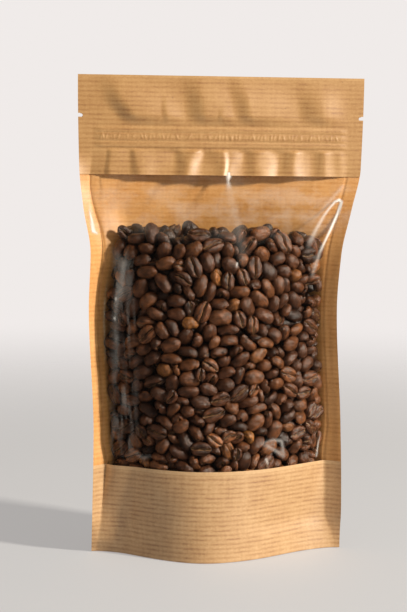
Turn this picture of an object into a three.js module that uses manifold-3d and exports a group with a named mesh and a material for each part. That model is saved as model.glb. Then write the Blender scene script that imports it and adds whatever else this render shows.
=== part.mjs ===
// A stand-up pouch of ribbed kraft paper with a clear window, filled with roasted coffee beans.
// Millimetres, +Z up. The pouch stands on its bottom gusset at z = 0, with its front facing -Y
// and the origin at the middle of its base.
import * as THREE from "three";
import { mergeVertices } from "three/addons/utils/BufferGeometryUtils.js";
import Module from "manifold-3d";

const wasm = await Module();
wasm.setup();

// ---- Driving sizes ------------------------------------------------------------------------------

const FLAT_WIDTH = 140; // the empty pouch, pressed flat
const HEIGHT = 234; // the filled pouch as it stands
const FULLNESS = 29; // how far each face bulges from the plane of the side seals
const SEAL_WIDTH = 6.5; // the heat-sealed strip down each side
const FOOTER_TOP = 44.5; // the window runs from here
const HEADER_BOTTOM = 186; // to here
const WINDOW_LAP = 4; // how far the film is laminated behind the paper
const ZIP_LOW = 199;
const ZIP_HIGH = 208.5;
const BEAN_LEVEL = 159;
const GUSSET_RISE = 38; // how high the bottom fold climbs inside each side seal

const PAPER = 0.4; // sheet thicknesses, thicker than real so that each is a sound solid
const FILM = 0.3;
const GAP = 0.3; // clearance between sheets that touch
const HALF_SEAL = (PAPER + GAP + FILM + GAP + PAPER) / 2; // half of the stack in a side seal

const SHEET_COLUMNS = 26; // facets across a panel between its seals
const SEAL_COLUMNS = 2; // facets across each side seal

const kraft = new THREE.MeshStandardMaterial({ color: 0xc99a63, roughness: 0.85, metalness: 0 });
const kraftInside = new THREE.MeshStandardMaterial({ color: 0xb98a58, roughness: 0.6, metalness: 0 });
const clearFilm = new THREE.MeshStandardMaterial({
  color: 0xf4f1ec,
  roughness: 0.08,
  metalness: 0,
  transparent: true,
  opacity: 0.25,
});
const roastedBean = new THREE.MeshStandardMaterial({ color: 0x452a1b, roughness: 0.45, metalness: 0 });

// ---- Small helpers ------------------------------------------------------------------------------

const { clamp, lerp, smoothstep, degToRad } = THREE.MathUtils;

// A smooth curve through [position, value] stations that never overshoots them.
function through(stations) {
  const slopes = stations.map(([p, v], i) => {
    if (i === 0 || i === stations.length - 1) return 0;
    const before = (v - stations[i - 1][1]) / (p - stations[i - 1][0]);
    const after = (stations[i + 1][1] - v) / (stations[i + 1][0] - p);
    return before * after > 0 ? (2 * before * after) / (before + after) : 0;
  });
  return (position) => {
    const p = clamp(position, stations[0][0], stations.at(-1)[0]);
    const i = Math.max(1, stations.findIndex(([end]) => p <= end));
    const [p0, v0] = stations[i - 1];
    const [p1, v1] = stations[i];
    const span = p1 - p0;
    const t = (p - p0) / span;
    const blend = t * t * (3 - 2 * t);
    const push = t * (1 - t) * span;
    return lerp(v0, v1, blend) + push * ((1 - t) * slopes[i - 1] - t * slopes[i]);
  };
}

// A closed solid from rings of points that all have the same count; the first and last rings are
// filled by a fan around their middle.
function solidFromRings(rings) {
  const count = rings[0].length;
  const points = rings.flat();
  const triangles = [];
  for (let r = 0; r + 1 < rings.length; r++) {
    for (let i = 0; i < count; i++) {
      const j = (i + 1) % count;
      const [a, b] = [r * count + i, r * count + j];
      const [c, d] = [a + count, b + count];
      triangles.push(a, b, d, a, d, c);
    }
  }
  const addCap = (ring, offset, facesDown) => {
    const middle = ring.reduce((sum, p) => sum.add(p), new THREE.Vector3()).divideScalar(count);
    const hub = points.push(middle) - 1;
    for (let i = 0; i < count; i++) {
      const [a, b] = [offset + i, offset + ((i + 1) % count)];
      triangles.push(...(facesDown ? [hub, b, a] : [hub, a, b]));
    }
  };
  addCap(rings[0], 0, true);
  addCap(rings.at(-1), (rings.length - 1) * count, false);
  const geometry = new THREE.BufferGeometry().setFromPoints(points);
  geometry.setIndex(triangles);
  geometry.computeVertexNormals();
  return geometry;
}

// A sheet of even thickness: rows of outer points, and rows of inner points behind them.
function solidFromSheet(outer, inner) {
  const rows = outer.length;
  const columns = outer[0].length;
  const points = [...outer.flat(), ...inner.flat()];
  const back = rows * columns;
  const at = (row, column) => row * columns + column;
  const triangles = [];
  const addQuad = (a, b, c, d) => triangles.push(a, b, c, a, c, d);
  for (let r = 0; r + 1 < rows; r++) {
    for (let c = 0; c + 1 < columns; c++) {
      const [p, q, s, t] = [at(r, c), at(r, c + 1), at(r + 1, c + 1), at(r + 1, c)];
      addQuad(p, q, s, t);
      addQuad(back + p, back + t, back + s, back + q);
    }
  }
  const rim = [];
  for (let c = 0; c + 1 < columns; c++) rim.push(at(0, c));
  for (let r = 0; r + 1 < rows; r++) rim.push(at(r, columns - 1));
  for (let c = columns - 1; c > 0; c--) rim.push(at(rows - 1, c));
  for (let r = rows - 1; r > 0; r--) rim.push(at(r, 0));
  rim.forEach((a, i) => {
    const b = rim[(i + 1) % rim.length];
    addQuad(a, back + a, back + b, b);
  });
  const geometry = new THREE.BufferGeometry().setFromPoints(points);
  geometry.setIndex(triangles);
  geometry.computeVertexNormals();
  return geometry;
}

function toManifold(geometry) {
  const bare = geometry.clone();
  bare.deleteAttribute("normal");
  bare.deleteAttribute("uv");
  const merged = mergeVertices(bare);
  return new wasm.Manifold(
    new wasm.Mesh({
      numProp: 3,
      vertProperties: new Float32Array(merged.attributes.position.array),
      triVerts: new Uint32Array(merged.index.array),
    }),
  );
}

function fromManifold(solid) {
  const { vertProperties, triVerts } = solid.getMesh();
  const geometry = new THREE.BufferGeometry();
  geometry.setAttribute("position", new THREE.BufferAttribute(new Float32Array(vertProperties), 3));
  geometry.setIndex(new THREE.BufferAttribute(new Uint32Array(triVerts), 1));
  geometry.computeVertexNormals();
  return geometry;
}

function evenSteps(from, to, steps) {
  return Array.from({ length: steps + 1 }, (_, i) => lerp(from, to, i / steps));
}

// ---- The shape of the filled pouch --------------------------------------------------------------

// The side edges are pulled in where the beans push the faces apart.
const leftEdge = through([
  [0, -62.3],
  [60, -61.7],
  [122, -64.3],
  [148, -63.6],
  [170, -67.1],
  [190, -69.2],
  [HEIGHT, -FLAT_WIDTH / 2],
]);
const rightEdge = through([
  [0, 62.3],
  [60, 61.3],
  [122, 58.2],
  [148, 60],
  [170, 64.9],
  [190, 69.1],
  [HEIGHT, FLAT_WIDTH / 2],
]);

// How far each face bulges at its middle, as a share of the fullness. The front stays full up to the
// top of the beans, and the back flattens sooner.
const frontBulge = through([
  [0, 1],
  [FOOTER_TOP, 0.99],
  [110, 0.95],
  [140, 0.9],
  [BEAN_LEVEL, 0.74],
  [174, 0.4],
  [HEADER_BOTTOM, 0.12],
  [ZIP_LOW, 0.03],
  [HEIGHT, 0.01],
]);
const backBulge = through([
  [0, 1],
  [FOOTER_TOP, 0.99],
  [100, 0.94],
  [125, 0.8],
  [145, 0.48],
  [BEAN_LEVEL, 0.26],
  [174, 0.13],
  [HEADER_BOTTOM, 0.08],
  [ZIP_LOW, 0.03],
  [HEIGHT, 0.01],
]);

// The side seals curl forward, in degrees, most where the faces are full.
const leftCurl = through([
  [0, 10],
  [40, 26],
  [90, 42],
  [150, 42],
  [ZIP_LOW, 0],
  [HEIGHT, 0],
]);
const rightCurl = through([
  [0, 6],
  [60, 18],
  [130, 26],
  [ZIP_LOW, 0],
  [HEIGHT, 0],
]);

// A face leaves the seal flat and then rises: the sharper the corner, the larger the power.
const frontLeftPower = through([[0, 1.6], [FOOTER_TOP, 0.98], [148, 0.95], [HEADER_BOTTOM, 1.1]]);
const frontRightPower = through([[0, 2], [FOOTER_TOP, 1.3], [90, 1.05], [HEADER_BOTTOM, 1.1]]);
const backPower = through([[0, 1.7], [FOOTER_TOP, 1.2], [HEADER_BOTTOM, 1.1]]);
const roundness = through([[0, 2], [FOOTER_TOP, 2.1], [120, 2.5], [HEADER_BOTTOM, 2]]);
const FRONT_CREST = -6; // the front bulges most a little left of the middle

const leftSeal = (z) => leftEdge(z) + SEAL_WIDTH * Math.cos(degToRad(leftCurl(z)) / 2);
const rightSeal = (z) => rightEdge(z) - SEAL_WIDTH * Math.cos(degToRad(rightCurl(z)) / 2);

// The middle surface of the side seals, curled like a page edge; 0 between the seals.
function sealCurl(x, z) {
  const left = Math.max(0, leftSeal(z) - x);
  const right = Math.max(0, x - rightSeal(z));
  const leftRise = (Math.tan(degToRad(leftCurl(z))) * left * left) / SEAL_WIDTH;
  const rightRise = (Math.tan(degToRad(rightCurl(z))) * right * right) / SEAL_WIDTH;
  return -(leftRise + rightRise);
}

// 0 at a seal, 1 at the crest.
function crown(x, z, crest, leftPower, rightPower) {
  const seal = x < crest ? leftSeal(z) : rightSeal(z);
  const outward = clamp((x - crest) / (seal - crest), 0, 1);
  return (1 - outward ** roundness(z)) ** (x < crest ? leftPower : rightPower);
}

// Upright puckers where the flat zip gathers the bulging faces: below it, and as slanting dents above.
const PUCKER_PITCH = 17;
const DENT_PITCH = 29;
const PUCKER_RISE = 1.4;
const DENT_RISE = 1.1;
const PUCKER_FULL = 192; // the puckers are full height up to here
const DENT_FULL = 217; // and the dents from here
const DENT_FADE = 225; // up to here
function puckers(x, z, phase) {
  const below = smoothstep(z, HEADER_BOTTOM - 14, HEADER_BOTTOM) * (1 - smoothstep(z, PUCKER_FULL, ZIP_LOW));
  const above = smoothstep(z, ZIP_HIGH, DENT_FULL) * (1 - 0.7 * smoothstep(z, DENT_FADE, HEIGHT));
  const wave = (pitch, shift) => 0.5 + 0.5 * Math.sin((2 * Math.PI * x) / pitch + shift);
  const inset = smoothstep(FLAT_WIDTH / 2 - Math.abs(x), SEAL_WIDTH, SEAL_WIDTH + 8);
  const low = below * wave(PUCKER_PITCH, phase);
  const high = above * wave(DENT_PITCH, phase + 2 + z / 9);
  return inset * (PUCKER_RISE * low + DENT_RISE * high);
}

// The zip shows through as a raised band with a firmer rib along its middle.
const ZIP_RIB = lerp(ZIP_LOW, ZIP_HIGH, 0.55);
function zipRelief(z) {
  const band = smoothstep(z, ZIP_LOW - 1.2, ZIP_LOW) * (1 - smoothstep(z, ZIP_HIGH, ZIP_HIGH + 1.2));
  const rib = Math.exp(-(((z - ZIP_RIB) / 1.4) ** 2));
  return 0.7 * band + 0.5 * rib;
}

function frontFace(x, z) {
  const rise = FULLNESS * frontBulge(z) * crown(x, z, FRONT_CREST, frontLeftPower(z), frontRightPower(z));
  const fade = smoothstep(crown(x, z, 0, 1, 1), 0, 0.1);
  return sealCurl(x, z) - HALF_SEAL - rise - puckers(x, z, 0.6) - fade * zipRelief(z);
}

function backFace(x, z) {
  const rise = FULLNESS * backBulge(z) * crown(x, z, 0, backPower(z), backPower(z));
  const fade = smoothstep(crown(x, z, 0, 1, 1), 0, 0.1);
  return sealCurl(x, z) + HALF_SEAL + rise + puckers(x, z, 3.4) + fade * zipRelief(z);
}

// Columns of a panel at one height: the seals and the face between them.
function acrossAt(z) {
  const [a, b, c, d] = [leftEdge(z), leftSeal(z), rightSeal(z), rightEdge(z)];
  return [
    ...evenSteps(a, b, SEAL_COLUMNS).slice(0, -1),
    ...evenSteps(b, c, SHEET_COLUMNS),
    ...evenSteps(c, d, SEAL_COLUMNS).slice(1),
  ];
}

// One panel of the pouch, between two heights, lying a little inside the face it follows.
function panel(face, inward, heights, depth, thickness) {
  const layer = (offset) =>
    heights.map((z) => acrossAt(z).map((x) => new THREE.Vector3(x, face(x, z) + inward * offset, z)));
  const [outer, inner] = [layer(depth), layer(depth + thickness)];
  return inward > 0 ? solidFromSheet(outer, inner) : solidFromSheet(inner, outer);
}

// ---- Paper panels and the window ----------------------------------------------------------------

// A round-ended slit in each side edge, to start the tear above the zip.
const NOTCH_HEIGHT = 214.4;
const NOTCH_DEPTH = 2.2;
const NOTCH_WIDTH = 1.7;

function cutTearNotches(geometry) {
  const slit = new THREE.Shape();
  slit.moveTo(-NOTCH_DEPTH, -NOTCH_WIDTH / 2);
  slit.lineTo(NOTCH_DEPTH - NOTCH_WIDTH / 2, -NOTCH_WIDTH / 2);
  slit.absarc(NOTCH_DEPTH - NOTCH_WIDTH / 2, 0, NOTCH_WIDTH / 2, -Math.PI / 2, Math.PI / 2);
  slit.lineTo(-NOTCH_DEPTH, NOTCH_WIDTH / 2);
  const cutterDepth = 12;
  let solid = toManifold(geometry);
  for (const [edge, mirror] of [
    [leftEdge(NOTCH_HEIGHT), 0],
    [rightEdge(NOTCH_HEIGHT), Math.PI],
  ]) {
    const extrusion = { depth: cutterDepth, bevelEnabled: false, curveSegments: 6 };
    const cutter = new THREE.ExtrudeGeometry(slit, extrusion);
    cutter.translate(0, 0, -cutterDepth / 2);
    cutter.rotateX(Math.PI / 2);
    cutter.rotateZ(mirror);
    cutter.translate(edge, 0, NOTCH_HEIGHT);
    solid = solid.subtract(toManifold(cutter));
  }
  return fromManifold(solid);
}

// The rows of facets that the panels share: the film and the back between the two laps, and both
// panels from the puckers over the zip to the top.
const windowHeights = [...evenSteps(FOOTER_TOP, 148, 5), ...evenSteps(158, HEADER_BOTTOM, 3)];
const zipHeights = [ZIP_LOW, lerp(ZIP_LOW, ZIP_RIB, 0.55), ZIP_RIB, ZIP_HIGH];
const topHeights = [...zipHeights, lerp(ZIP_HIGH, DENT_FULL, 0.4), DENT_FULL, DENT_FADE, HEIGHT];

function frontHeader() {
  const lapTop = HEADER_BOTTOM + WINDOW_LAP;
  const heights = [HEADER_BOTTOM, lapTop, lerp(PUCKER_FULL, ZIP_LOW, 0.35), ...topHeights];
  return cutTearNotches(panel(frontFace, 1, heights, 0, PAPER));
}

function frontFooter() {
  const heights = [...evenSteps(0, FOOTER_TOP - WINDOW_LAP, 5), FOOTER_TOP];
  return panel(frontFace, 1, heights, 0, PAPER);
}

function frontWindow() {
  const heights = [FOOTER_TOP - WINDOW_LAP, ...windowHeights, HEADER_BOTTOM + WINDOW_LAP];
  return panel(frontFace, 1, heights, PAPER + GAP, FILM);
}

function backPanel() {
  const heights = [...evenSteps(0, FOOTER_TOP, 4).slice(0, -1), ...windowHeights, PUCKER_FULL, ...topHeights];
  return cutTearNotches(panel(backFace, -1, heights, 0, PAPER));
}

// ---- The bottom gusset --------------------------------------------------------------------------

// The fold along the middle lies flat on the ground and climbs into both side seals. The gusset
// meets the front and back panels along a curved seal, low in the middle and high at the sides.
const FLAT_BASE = 30; // half the length of the stretch that lies on the ground
const SEAL_ARC_LOW = 4;
const FLAT_SHARE = 0.62; // of the way from the fold to a panel lies flat, then the gusset rises
const GUSSET_INSET = 1; // from the side seals

function endShare(x) {
  const seal = x < 0 ? leftSeal(GUSSET_RISE) : rightSeal(GUSSET_RISE);
  return clamp(x / seal, 0, 1);
}

function foldHeight(x) {
  const share = endShare(x);
  const start = FLAT_BASE / Math.abs(rightSeal(0));
  return GUSSET_RISE * clamp((share - start) / (1 - start), 0, 1) ** 1.5;
}

function sealArcHeight(x) {
  return lerp(SEAL_ARC_LOW, GUSSET_RISE, endShare(x) ** 2.6);
}

// Height of the gusset at x, a share of the way from the fold (0) to a panel (1).
function gussetHeight(x, share) {
  const fold = foldHeight(x);
  return lerp(fold, Math.max(sealArcHeight(x), fold), smoothstep(Math.abs(share), FLAT_SHARE, 1));
}

function gussetPoint(x, share, lift) {
  const arc = sealArcHeight(x);
  const wall = share < 0 ? frontFace(x, arc) + PAPER + GAP : backFace(x, arc) - PAPER - GAP;
  return new THREE.Vector3(x, Math.abs(share) * wall, gussetHeight(x, share) + lift);
}

function bottomGusset() {
  const from = leftSeal(GUSSET_RISE) + GUSSET_INSET;
  const to = rightSeal(GUSSET_RISE) - GUSSET_INSET;
  const xs = [
    ...evenSteps(from, -FLAT_BASE, 4).slice(0, -1),
    ...evenSteps(-FLAT_BASE, FLAT_BASE, 6),
    ...evenSteps(FLAT_BASE, to, 4).slice(1),
  ];
  const halfShares = [...evenSteps(0, FLAT_SHARE, 2).slice(0, -1), ...evenSteps(FLAT_SHARE, 1, 3)];
  const shares = [...halfShares.slice(1).map((share) => -share).reverse(), ...halfShares];
  const layer = (lift) => shares.map((share) => xs.map((x) => gussetPoint(x, share, lift)));
  return solidFromSheet(layer(PAPER), layer(0));
}

// ---- The beans ----------------------------------------------------------------------------------

const BEAN_LENGTH = 10.5;
const BEAN_ROW = 8.4; // one row of beans above the next
const RING_POINTS = 52;
const BEAN_CLEARANCE = 0.5; // to the sheets around them
const ON_GUSSET = PAPER + BEAN_CLEARANCE + 0.6; // the lowest beans over the gusset, clear of its facets
const LUMP = 2.2; // how far single beans stand out of the heap

// Lumps the size of beans, staggered like bricks: 0 in the hollows, 1 on a bean.
function lumps(along, up) {
  const row = Math.round(up / BEAN_ROW);
  const shift = (row % 2) * 0.5 + 0.2 * Math.sin(row * 2.3);
  const cell = along / BEAN_LENGTH + shift;
  const across = Math.cos(2 * Math.PI * cell);
  const rise = Math.cos((2 * Math.PI * up) / BEAN_ROW);
  const uneven = 0.75 + 0.25 * Math.sin(Math.round(cell) * 5.1 + row * 3.7);
  return uneven * (0.5 + 0.25 * (across + rise));
}

function heapTop(x, y) {
  const slump = 7 * (Math.abs(x + 2) / 58) ** 3;
  return BEAN_LEVEL - slump + 1.6 * Math.sin(x / 7.3) + 1.2 * Math.cos(x / 4.1 + y / 5.2);
}

// One side point of the heap: angle goes round it, level goes from the gusset (0) to the top (1).
function heapSide(angle, level) {
  const side = Math.cos(angle);
  const reach = side < 0 ? 7.5 : 4.5; // the beans stop short of the narrow corners
  const guess = lerp(20, BEAN_LEVEL, level);
  const end = side < 0 ? leftSeal(guess) + reach : rightSeal(guess) - reach;
  const x = Math.abs(side) * end;
  const bottom = Math.max(sealArcHeight(x), foldHeight(x)) + ON_GUSSET;
  const around = Math.sin(angle);
  const z = lerp(bottom, heapTop(x, around * 15), level);
  const front = frontFace(x, z) + PAPER + GAP + FILM + BEAN_CLEARANCE;
  const back = backFace(x, z) - PAPER - BEAN_CLEARANCE;
  const hollow = LUMP * (1 - lumps(angle * 45, z));
  const wall = around < 0 ? front + hollow : back - hollow;
  return new THREE.Vector3(x, wall * Math.abs(around) ** 0.4, z);
}

function coffeeBeans() {
  const angles = evenSteps(0, 2 * Math.PI, RING_POINTS).slice(0, -1);
  const ring = (level) => angles.map((angle) => heapSide(angle, level));
  const shrink = (points, share, height) =>
    points.map((p) => new THREE.Vector3(p.x * share, p.y * share, height(p.x * share, p.y * share, p)));
  const onGusset = (x, y) => {
    const wall = Math.abs(y < 0 ? frontFace(x, SEAL_ARC_LOW) : backFace(x, SEAL_ARC_LOW));
    return gussetHeight(x, Math.min(1, Math.abs(y) / (wall - 1) + 0.12)) + ON_GUSSET;
  };
  const [lowest, highest] = [ring(0), ring(1)];
  return solidFromRings([
    shrink(lowest, 0.45, onGusset),
    shrink(lowest, 0.8, onGusset),
    ...evenSteps(0, 1, 20).map(ring),
    shrink(highest, 0.72, heapTop),
    shrink(highest, 0.4, heapTop),
  ]);
}

// ---- The pouch ----------------------------------------------------------------------------------

const pouch = new THREE.Group();
for (const [name, geometry, material] of [
  ["front_header", frontHeader(), kraft],
  ["front_window", frontWindow(), clearFilm],
  ["front_footer", frontFooter(), kraft],
  ["back_panel", backPanel(), kraft],
  ["bottom_gusset", bottomGusset(), kraftInside],
  ["coffee_beans", coffeeBeans(), roastedBean],
]) {
  const mesh = new THREE.Mesh(geometry, material);
  mesh.name = name;
  pouch.add(mesh);
}

export default pouch;
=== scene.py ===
import math

import bpy
import numpy as np
from mathutils import Matrix, Quaternion, Vector


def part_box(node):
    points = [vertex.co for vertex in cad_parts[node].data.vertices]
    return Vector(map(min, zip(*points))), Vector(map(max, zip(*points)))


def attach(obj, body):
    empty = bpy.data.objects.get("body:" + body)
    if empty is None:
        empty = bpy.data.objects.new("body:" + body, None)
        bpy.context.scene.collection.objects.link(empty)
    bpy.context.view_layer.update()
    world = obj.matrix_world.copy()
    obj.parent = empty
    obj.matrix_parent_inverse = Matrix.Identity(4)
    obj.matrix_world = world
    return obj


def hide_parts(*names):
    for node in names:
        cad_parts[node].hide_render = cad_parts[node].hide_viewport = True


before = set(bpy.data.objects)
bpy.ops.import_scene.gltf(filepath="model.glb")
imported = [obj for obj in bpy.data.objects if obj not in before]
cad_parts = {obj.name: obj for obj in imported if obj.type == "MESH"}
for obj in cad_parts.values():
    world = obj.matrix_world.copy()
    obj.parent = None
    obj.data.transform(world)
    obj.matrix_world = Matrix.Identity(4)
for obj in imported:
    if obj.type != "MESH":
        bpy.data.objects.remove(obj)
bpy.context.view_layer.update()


# ---- Back panel ---------------------------------------------------------------------------------
# One full-height sheet of ribbed kraft paper, lined inside with thin film. It is heat-sealed to the
# front down both sides and bulges where the beans push it out. The flat zip gathers it into puckers.

MM = 0.001  # sizes below are in millimetres, and meshes in metres
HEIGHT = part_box("back_panel")[1].z / MM
HALF_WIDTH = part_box("back_panel")[1].x / MM
FOOTER_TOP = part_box("front_footer")[1].z / MM
HEADER_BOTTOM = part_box("front_header")[0].z / MM
UNEVENNESS = 0.8  # of the depth is left for the seals' thickness and for dents in the paper
BACK_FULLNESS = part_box("back_panel")[1].y / MM - UNEVENNESS
FLATTENS = (150, 190)  # over these heights the pouch goes from bulging to flat
SEAL_WIDTH = 6.5
PAPER = 0.18
STACK = 0.3  # from the middle of the sealed stack to its outer faces
SHARP_RIM = math.radians(50)  # a sheet's edge is cut square


def through(*stations):
    """A smooth curve through (position, value) stations that never overshoots them."""
    p, v = np.array(stations, float).T
    rise = np.diff(v) / np.diff(p)
    product = rise[1:] * rise[:-1]
    same = product > 0
    slope = np.zeros_like(v)
    slope[1:-1][same] = 2 * product[same] / (rise[1:] + rise[:-1])[same]

    def curve(position):
        q = np.clip(position, p[0], p[-1])
        i = np.clip(np.searchsorted(p, q) - 1, 0, len(p) - 2)
        span = p[i + 1] - p[i]
        t = (q - p[i]) / span
        blend = t * t * (3 - 2 * t)
        push = t * (1 - t) * span
        return v[i] + (v[i + 1] - v[i]) * blend + push * ((1 - t) * slope[i] - t * slope[i + 1])

    return curve


def step(value, start, end):
    """0 before start, 1 after end, smooth between."""
    t = np.clip((value - start) / (end - start), 0, 1)
    return t * t * (3 - 2 * t)


left_edge = through(
    (0, -62.3), (60, -61.7), (122, -64.3), (148, -63.6), (170, -67.1), (190, -69.2),
    (HEIGHT, -HALF_WIDTH),
)
right_edge = through(
    (0, 62.3), (60, 61.3), (122, 58.2), (148, 60), (170, 64.9), (190, 69.1), (HEIGHT, HALF_WIDTH),
)
back_bulge = through(
    (0, 1), (FOOTER_TOP, 0.99), (100, 0.94), (125, 0.8), (145, 0.48), (159, 0.26), (174, 0.13),
    (HEADER_BOTTOM, 0.08), (199, 0.03), (HEIGHT, 0.01),
)
left_curl = through((0, 6), (9, 16), (18, 37), (60, 40), (150, 42), (186, 20), (199, 0), (HEIGHT, 0))
right_curl = through((0, 6), (12, 18), (24, 25), (60, 24), (130, 26), (199, 0), (HEIGHT, 0))
left_width = through(
    (0, 2.5), (16, 4.2), (26, 4.9), (46, 6.3), (58, 4.6), (115, 4.4), (134, 5.2), (150, 6.8),
    (160, 6.4), (178, 4.4), (199, SEAL_WIDTH), (HEIGHT, SEAL_WIDTH),
)
right_width = through((0, 2.5), (9, 4.5), (18, 8), (46, 8.2), (64, SEAL_WIDTH), (HEIGHT, SEAL_WIDTH))
LEAN_REACH = 16
left_lean = through((0, 2.6), (7, 5.6), (16, 6.8), (60, 6.2), (150, 4.6), (184, 0), (HEIGHT, 0))
roundness = through((0, 2), (FOOTER_TOP, 2.1), (120, 2.5), (HEADER_BOTTOM, 2))
back_power = through((0, 1.7), (FOOTER_TOP, 1.2), (HEADER_BOTTOM, 1.1))


def left_seal(z):
    return left_edge(z) + left_width(z)


def right_seal(z):
    return right_edge(z) - right_width(z) * np.cos(np.radians(right_curl(z)) / 2)


def seal_curl(x, z):
    """How far the side seals turn forward from the middle plane. The left one also leans forward as a
    whole and takes the faces beside it along."""
    left = np.maximum(0, left_seal(z) - x)
    right = np.maximum(0, x - right_seal(z))
    lean = left_lean(z) * (1 - step(x - left_seal(z), 0, LEAN_REACH))
    return -lean - sum(
        np.tan(np.radians(curl(z))) * (0.75 * out + 0.25 * out**2 / SEAL_WIDTH)
        for curl, out in ((left_curl, left), (right_curl, right))
    )


def crown(x, z, crest, left_power, right_power):
    """0 at a side seal, 1 at the crest."""
    left = x < crest
    seal = np.where(left, left_seal(z), right_seal(z))
    outward = np.clip((x - crest) / (seal - crest), 0, 1)
    return (1 - outward ** roundness(z)) ** np.where(left, left_power, right_power)


def inside_seals(x, z, margin):
    """0 on the side seals, 1 from a margin inside them."""
    return step(np.minimum(x - left_seal(z), right_seal(z) - x), 0, margin)


def pleats(x, z, low, high, knots):
    """Crisp pleats across a band between two heights. Each knot is a ridge or a valley: its x at the
    low and at the high edge, and how far it stands out."""
    up = (z - low) / (high - low)
    total = knots[0][2]
    for (x0, x1, before), (x2, x3, after) in zip(knots, knots[1:]):
        start, end = x0 + (x1 - x0) * up, x2 + (x3 - x2) * up
        share = np.clip((x - start) / (end - start), 0, 1)
        total = total + (after - before) * share * (0.15 + 0.85 * share * (3 - 2 * share))
    return total


ZIP_LOW = 199.0
ZIP_TOP = 208.4
ZIP_LINES = (ZIP_LOW, 202.2, 206.2)  # grooves pressed in round the zip
ZIP_WRINKLES = (204.3, 1.3, 1.7)  # their height, half the height of their row, and their spacing
ZIP_MIDDLE = 204


def zip_relief(x, z, seed):
    """The zip shows through as a firm band with pressed grooves and a row of fine wrinkles."""
    band = step(z, ZIP_LOW - 0.9, ZIP_LOW + 0.5) * (1 - step(z, ZIP_TOP - 0.4, ZIP_TOP + 1.2))
    grooves = sum(np.exp(-(((z - line) / 0.5) ** 2)) for line in ZIP_LINES)
    draw = np.random.default_rng(seed)
    wrinkles = np.zeros(np.broadcast(x, z).shape)
    height, reach, spacing = ZIP_WRINKLES
    row = np.exp(-(((z - height) / reach) ** 2))
    for place in np.arange(-59, 60, spacing):
        at = place + draw.uniform(-0.7, 0.7) + (z - ZIP_MIDDLE) * draw.uniform(-0.4, 0.4)
        wrinkles += draw.uniform(0.02, 0.24) * np.exp(-(((x - at) / 0.4) ** 2))
    return (0.4 * band - 0.26 * grooves + row * wrinkles) * inside_seals(x, z, 5)


def waviness(x, z, size, seed):
    """A gentle unevenness of a few waves in each direction, between -1 and 1."""
    draw = np.random.default_rng(seed)
    total = np.zeros(np.broadcast(x, z).shape)
    for _ in range(9):
        angle, phase = draw.uniform(0, 2 * math.pi, 2)
        pitch = size * draw.uniform(0.7, 1.6)
        total += np.sin(2 * math.pi * (x * math.cos(angle) + z * math.sin(angle)) / pitch + phase)
    return total / 5


# The flat zip gathers the bulging face into upright pleats below it, which die out in the window.
GATHERS = [
    (-67, -66, 0.0), (-57, -56, 0.1), (-53, -53.5, 0.7), (-45, -45, 0.1), (-40.5, -41.5, 0.8),
    (-25.5, -22.5, -0.5), (-17, -14.5, 1.0), (-8.5, -8, -0.3), (0.3, 1.2, 1.0), (3.2, 4.2, 0.35),
    (10.5, 10, -0.6), (19, 19.8, 0.7), (27.5, 27, -0.5), (36, 37, 0.8), (43.5, 43, -0.3),
    (51.5, 51, 0.7), (57, 56, 0.2), (62, 58.5, 0.35), (69, 68, 0.1),
]


def gathers(x, z, fade_from, fade_to):
    below = pleats(x + 1.5 * waviness(x, z, 14, 17), z, HEADER_BOTTOM, ZIP_LOW, GATHERS)
    below = below * (1.05 + 0.3 * waviness(x, z, 13, 19))
    held_by_zip = 1 - step(z, ZIP_LOW - 2.2, ZIP_LOW)
    return below * step(z, fade_to, fade_from) * held_by_zip * inside_seals(x, z, 5)


# Above the zip the paper buckles into slanting dents that end abruptly just over it. Each has the x of
# its ridge at its low and its high end, the height of that end, the width of its steep left side at
# both ends, and its depth.
DENTS = [
    (-38.5, -58, 237, 11, 14, 2.2), (-26, -27, 226, 3.2, 3, 0.5), (-6.6, -11.5, 238, 11, 10, 2.0),
    (1.4, 1, 221, 3, 2.4, 0.4), (17, 9, 237, 10.5, 9, 1.9), (51.5, 47.5, 233, 14, 12, 1.6),
]
DENT_LOW = 210.3


def dents(x, z):
    along = x + 0.8 * waviness(x, z, 15, 13)
    total = np.zeros(np.broadcast(x, z).shape)
    for low, high, end, low_width, high_width, depth in DENTS:
        t = (z - DENT_LOW) / (end - DENT_LOW)
        steep_width = np.maximum(low_width + (high_width - low_width) * t, 1)
        away = (along - low - (high - low) * t) / steep_width
        total += depth * step(away, -1, 0) * (1 - step(away, -0.1, 2.6)) * (1 - step(t, 0.3, 1.05))
    return total * step(z, DENT_LOW - 1.2, DENT_LOW + 5) * inside_seals(x, z, 15)


def back_depth(x, z):
    """How far the back bulges from the middle plane."""
    return BACK_FULLNESS * back_bulge(z) * crown(x, z, 0.0, back_power(z), back_power(z))


def back_face(x, z):
    """Outer face of the back panel: y for a place across (x) and up (z), in millimetres."""
    rise = back_depth(x, z)
    soft = inside_seals(x, z, 10) * (0.5 * waviness(x, z, 38, 3) * (1 - step(z, *FLATTENS)))
    # The sealing jaws press a fine line along the inner edge of each side seal.
    pressed = 0.35 * np.exp(-((np.minimum(x - left_seal(z), right_seal(z) - x) / 0.5) ** 2))
    return (
        seal_curl(x, z) + STACK + rise + soft + zip_relief(x, z, 11) + pressed
        + 0.35 * gathers(-x, z, 192, 178) + 0.7 * dents(-x, z)
    )


def columns_at(z, inner_columns, seal_columns):
    """Places across one row: evenly over both side seals and closer near them than in the middle."""
    a, b, c, d = left_edge(z), left_seal(z), right_seal(z), right_edge(z)
    t = np.linspace(-1, 1, inner_columns + 1)
    spread = 0.82 * t + 0.18 * np.sin(t * math.pi / 2)
    return np.concatenate([
        np.linspace(a, b, seal_columns + 1)[:-1],
        (b + c) / 2 + spread * (c - b) / 2,
        np.linspace(c, d, seal_columns + 1)[1:],
    ])


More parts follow.
